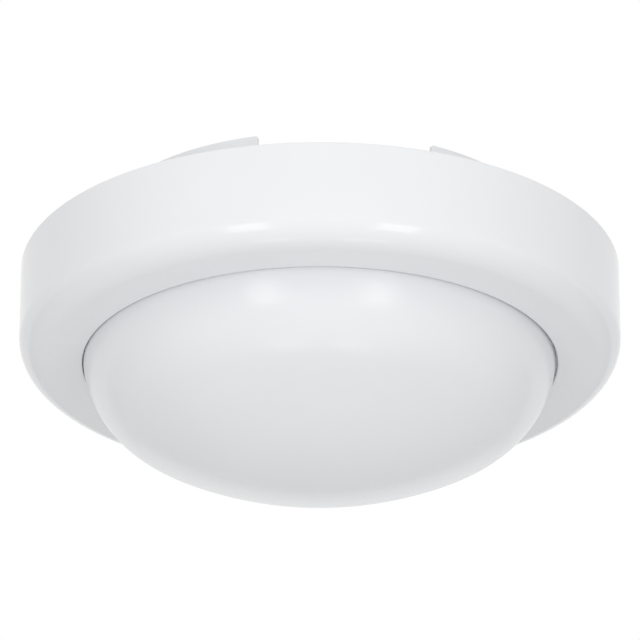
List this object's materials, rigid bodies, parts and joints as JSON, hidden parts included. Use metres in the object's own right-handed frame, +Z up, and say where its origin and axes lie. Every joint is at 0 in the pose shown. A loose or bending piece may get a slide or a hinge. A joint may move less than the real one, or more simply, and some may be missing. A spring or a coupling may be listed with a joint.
{
  "type": "soffit downlight",
  "caption": "Round white surface-mounted soffit light: a bezel ring with an opal dome diffuser twists on to a moulded base that stands off the soffit.",
  "frame": {"origin": "centre of the fixing hole pattern, on the plane of the soffit that the stand-off wall and the pillars bear on", "axes": "+Z up into the soffit, along the light's own axis; the light hangs towards -Z; -Y is the front, which the picture shows; +X is to the right in it"},
  "size_m": [0.25, 0.25, 0.1126],
  "materials": {
    "bezel_white": "moulded gloss white polycarbonate blend",
    "opal_diffuser": "satin opal polycarbonate",
    "base_white": "moulded white polycarbonate blend",
    "seal_silicone": "matt grey-white silicone",
    "grommet_rubber": "black rubber",
    "clamp_nylon": "natural nylon",
    "terminal_nylon": "natural nylon",
    "brass": "plain brass",
    "zinc_steel": "zinc-plated steel",
    "tray_white": "white powder-coated aluminium",
    "board_white": "white solder mask on aluminium",
    "led_phosphor": "yellow phosphor in a white package",
    "driver_casing": "white moulded polycarbonate",
    "driver_laminate": "green solder mask on glass-epoxy",
    "ferrite": "sintered ferrite",
    "winding_tape": "yellow polyester tape",
    "capacitor_sleeve": "shrink sleeve",
    "lead_brown": "brown PVC insulation",
    "lead_blue": "blue PVC insulation",
    "lead_green_yellow": "green and yellow PVC insulation",
    "lead_red": "red PVC insulation",
    "lead_black": "black PVC insulation"
  },
  "bodies": {
    "base_assembly": {"base": "base_white", "diffuser_seal": "seal_silicone", "cable_grommet": "grommet_rubber", "cable_clamp": "clamp_nylon", "cable_clamp_screws": "zinc_steel", "terminal_block": "terminal_nylon", "terminal_clamps": "brass", "terminal_screws": "zinc_steel", "terminal_block_screws": "zinc_steel", "gear_tray": "tray_white", "tray_screws": "zinc_steel", "led_board": "board_white", "led_chips": "led_phosphor", "led_board_screws": "zinc_steel", "board_connector": "terminal_nylon", "driver_case": "driver_casing", "driver_lid": "driver_casing", "driver_board": "driver_laminate", "transformer_core": "ferrite", "transformer_winding": "winding_tape", "driver_capacitors": "capacitor_sleeve", "driver_choke": "ferrite", "driver_screws": "zinc_steel", "live_lead": "lead_brown", "neutral_lead": "lead_blue", "earth_lead": "lead_green_yellow", "earth_tag": "zinc_steel", "earth_screw": "zinc_steel", "led_lead_positive": "lead_red", "led_lead_negative": "lead_black"},
    "cover": {"bezel": "bezel_white", "diffuser": "opal_diffuser"}
  },
  "joints": [
    {"name": "cover_twist", "type": "hinge", "parent": "base_assembly", "child": "cover", "pos_m": [0, 0, -0.0628], "axis": [0, 0, -1], "range_deg": [0, 26]}
  ]
}
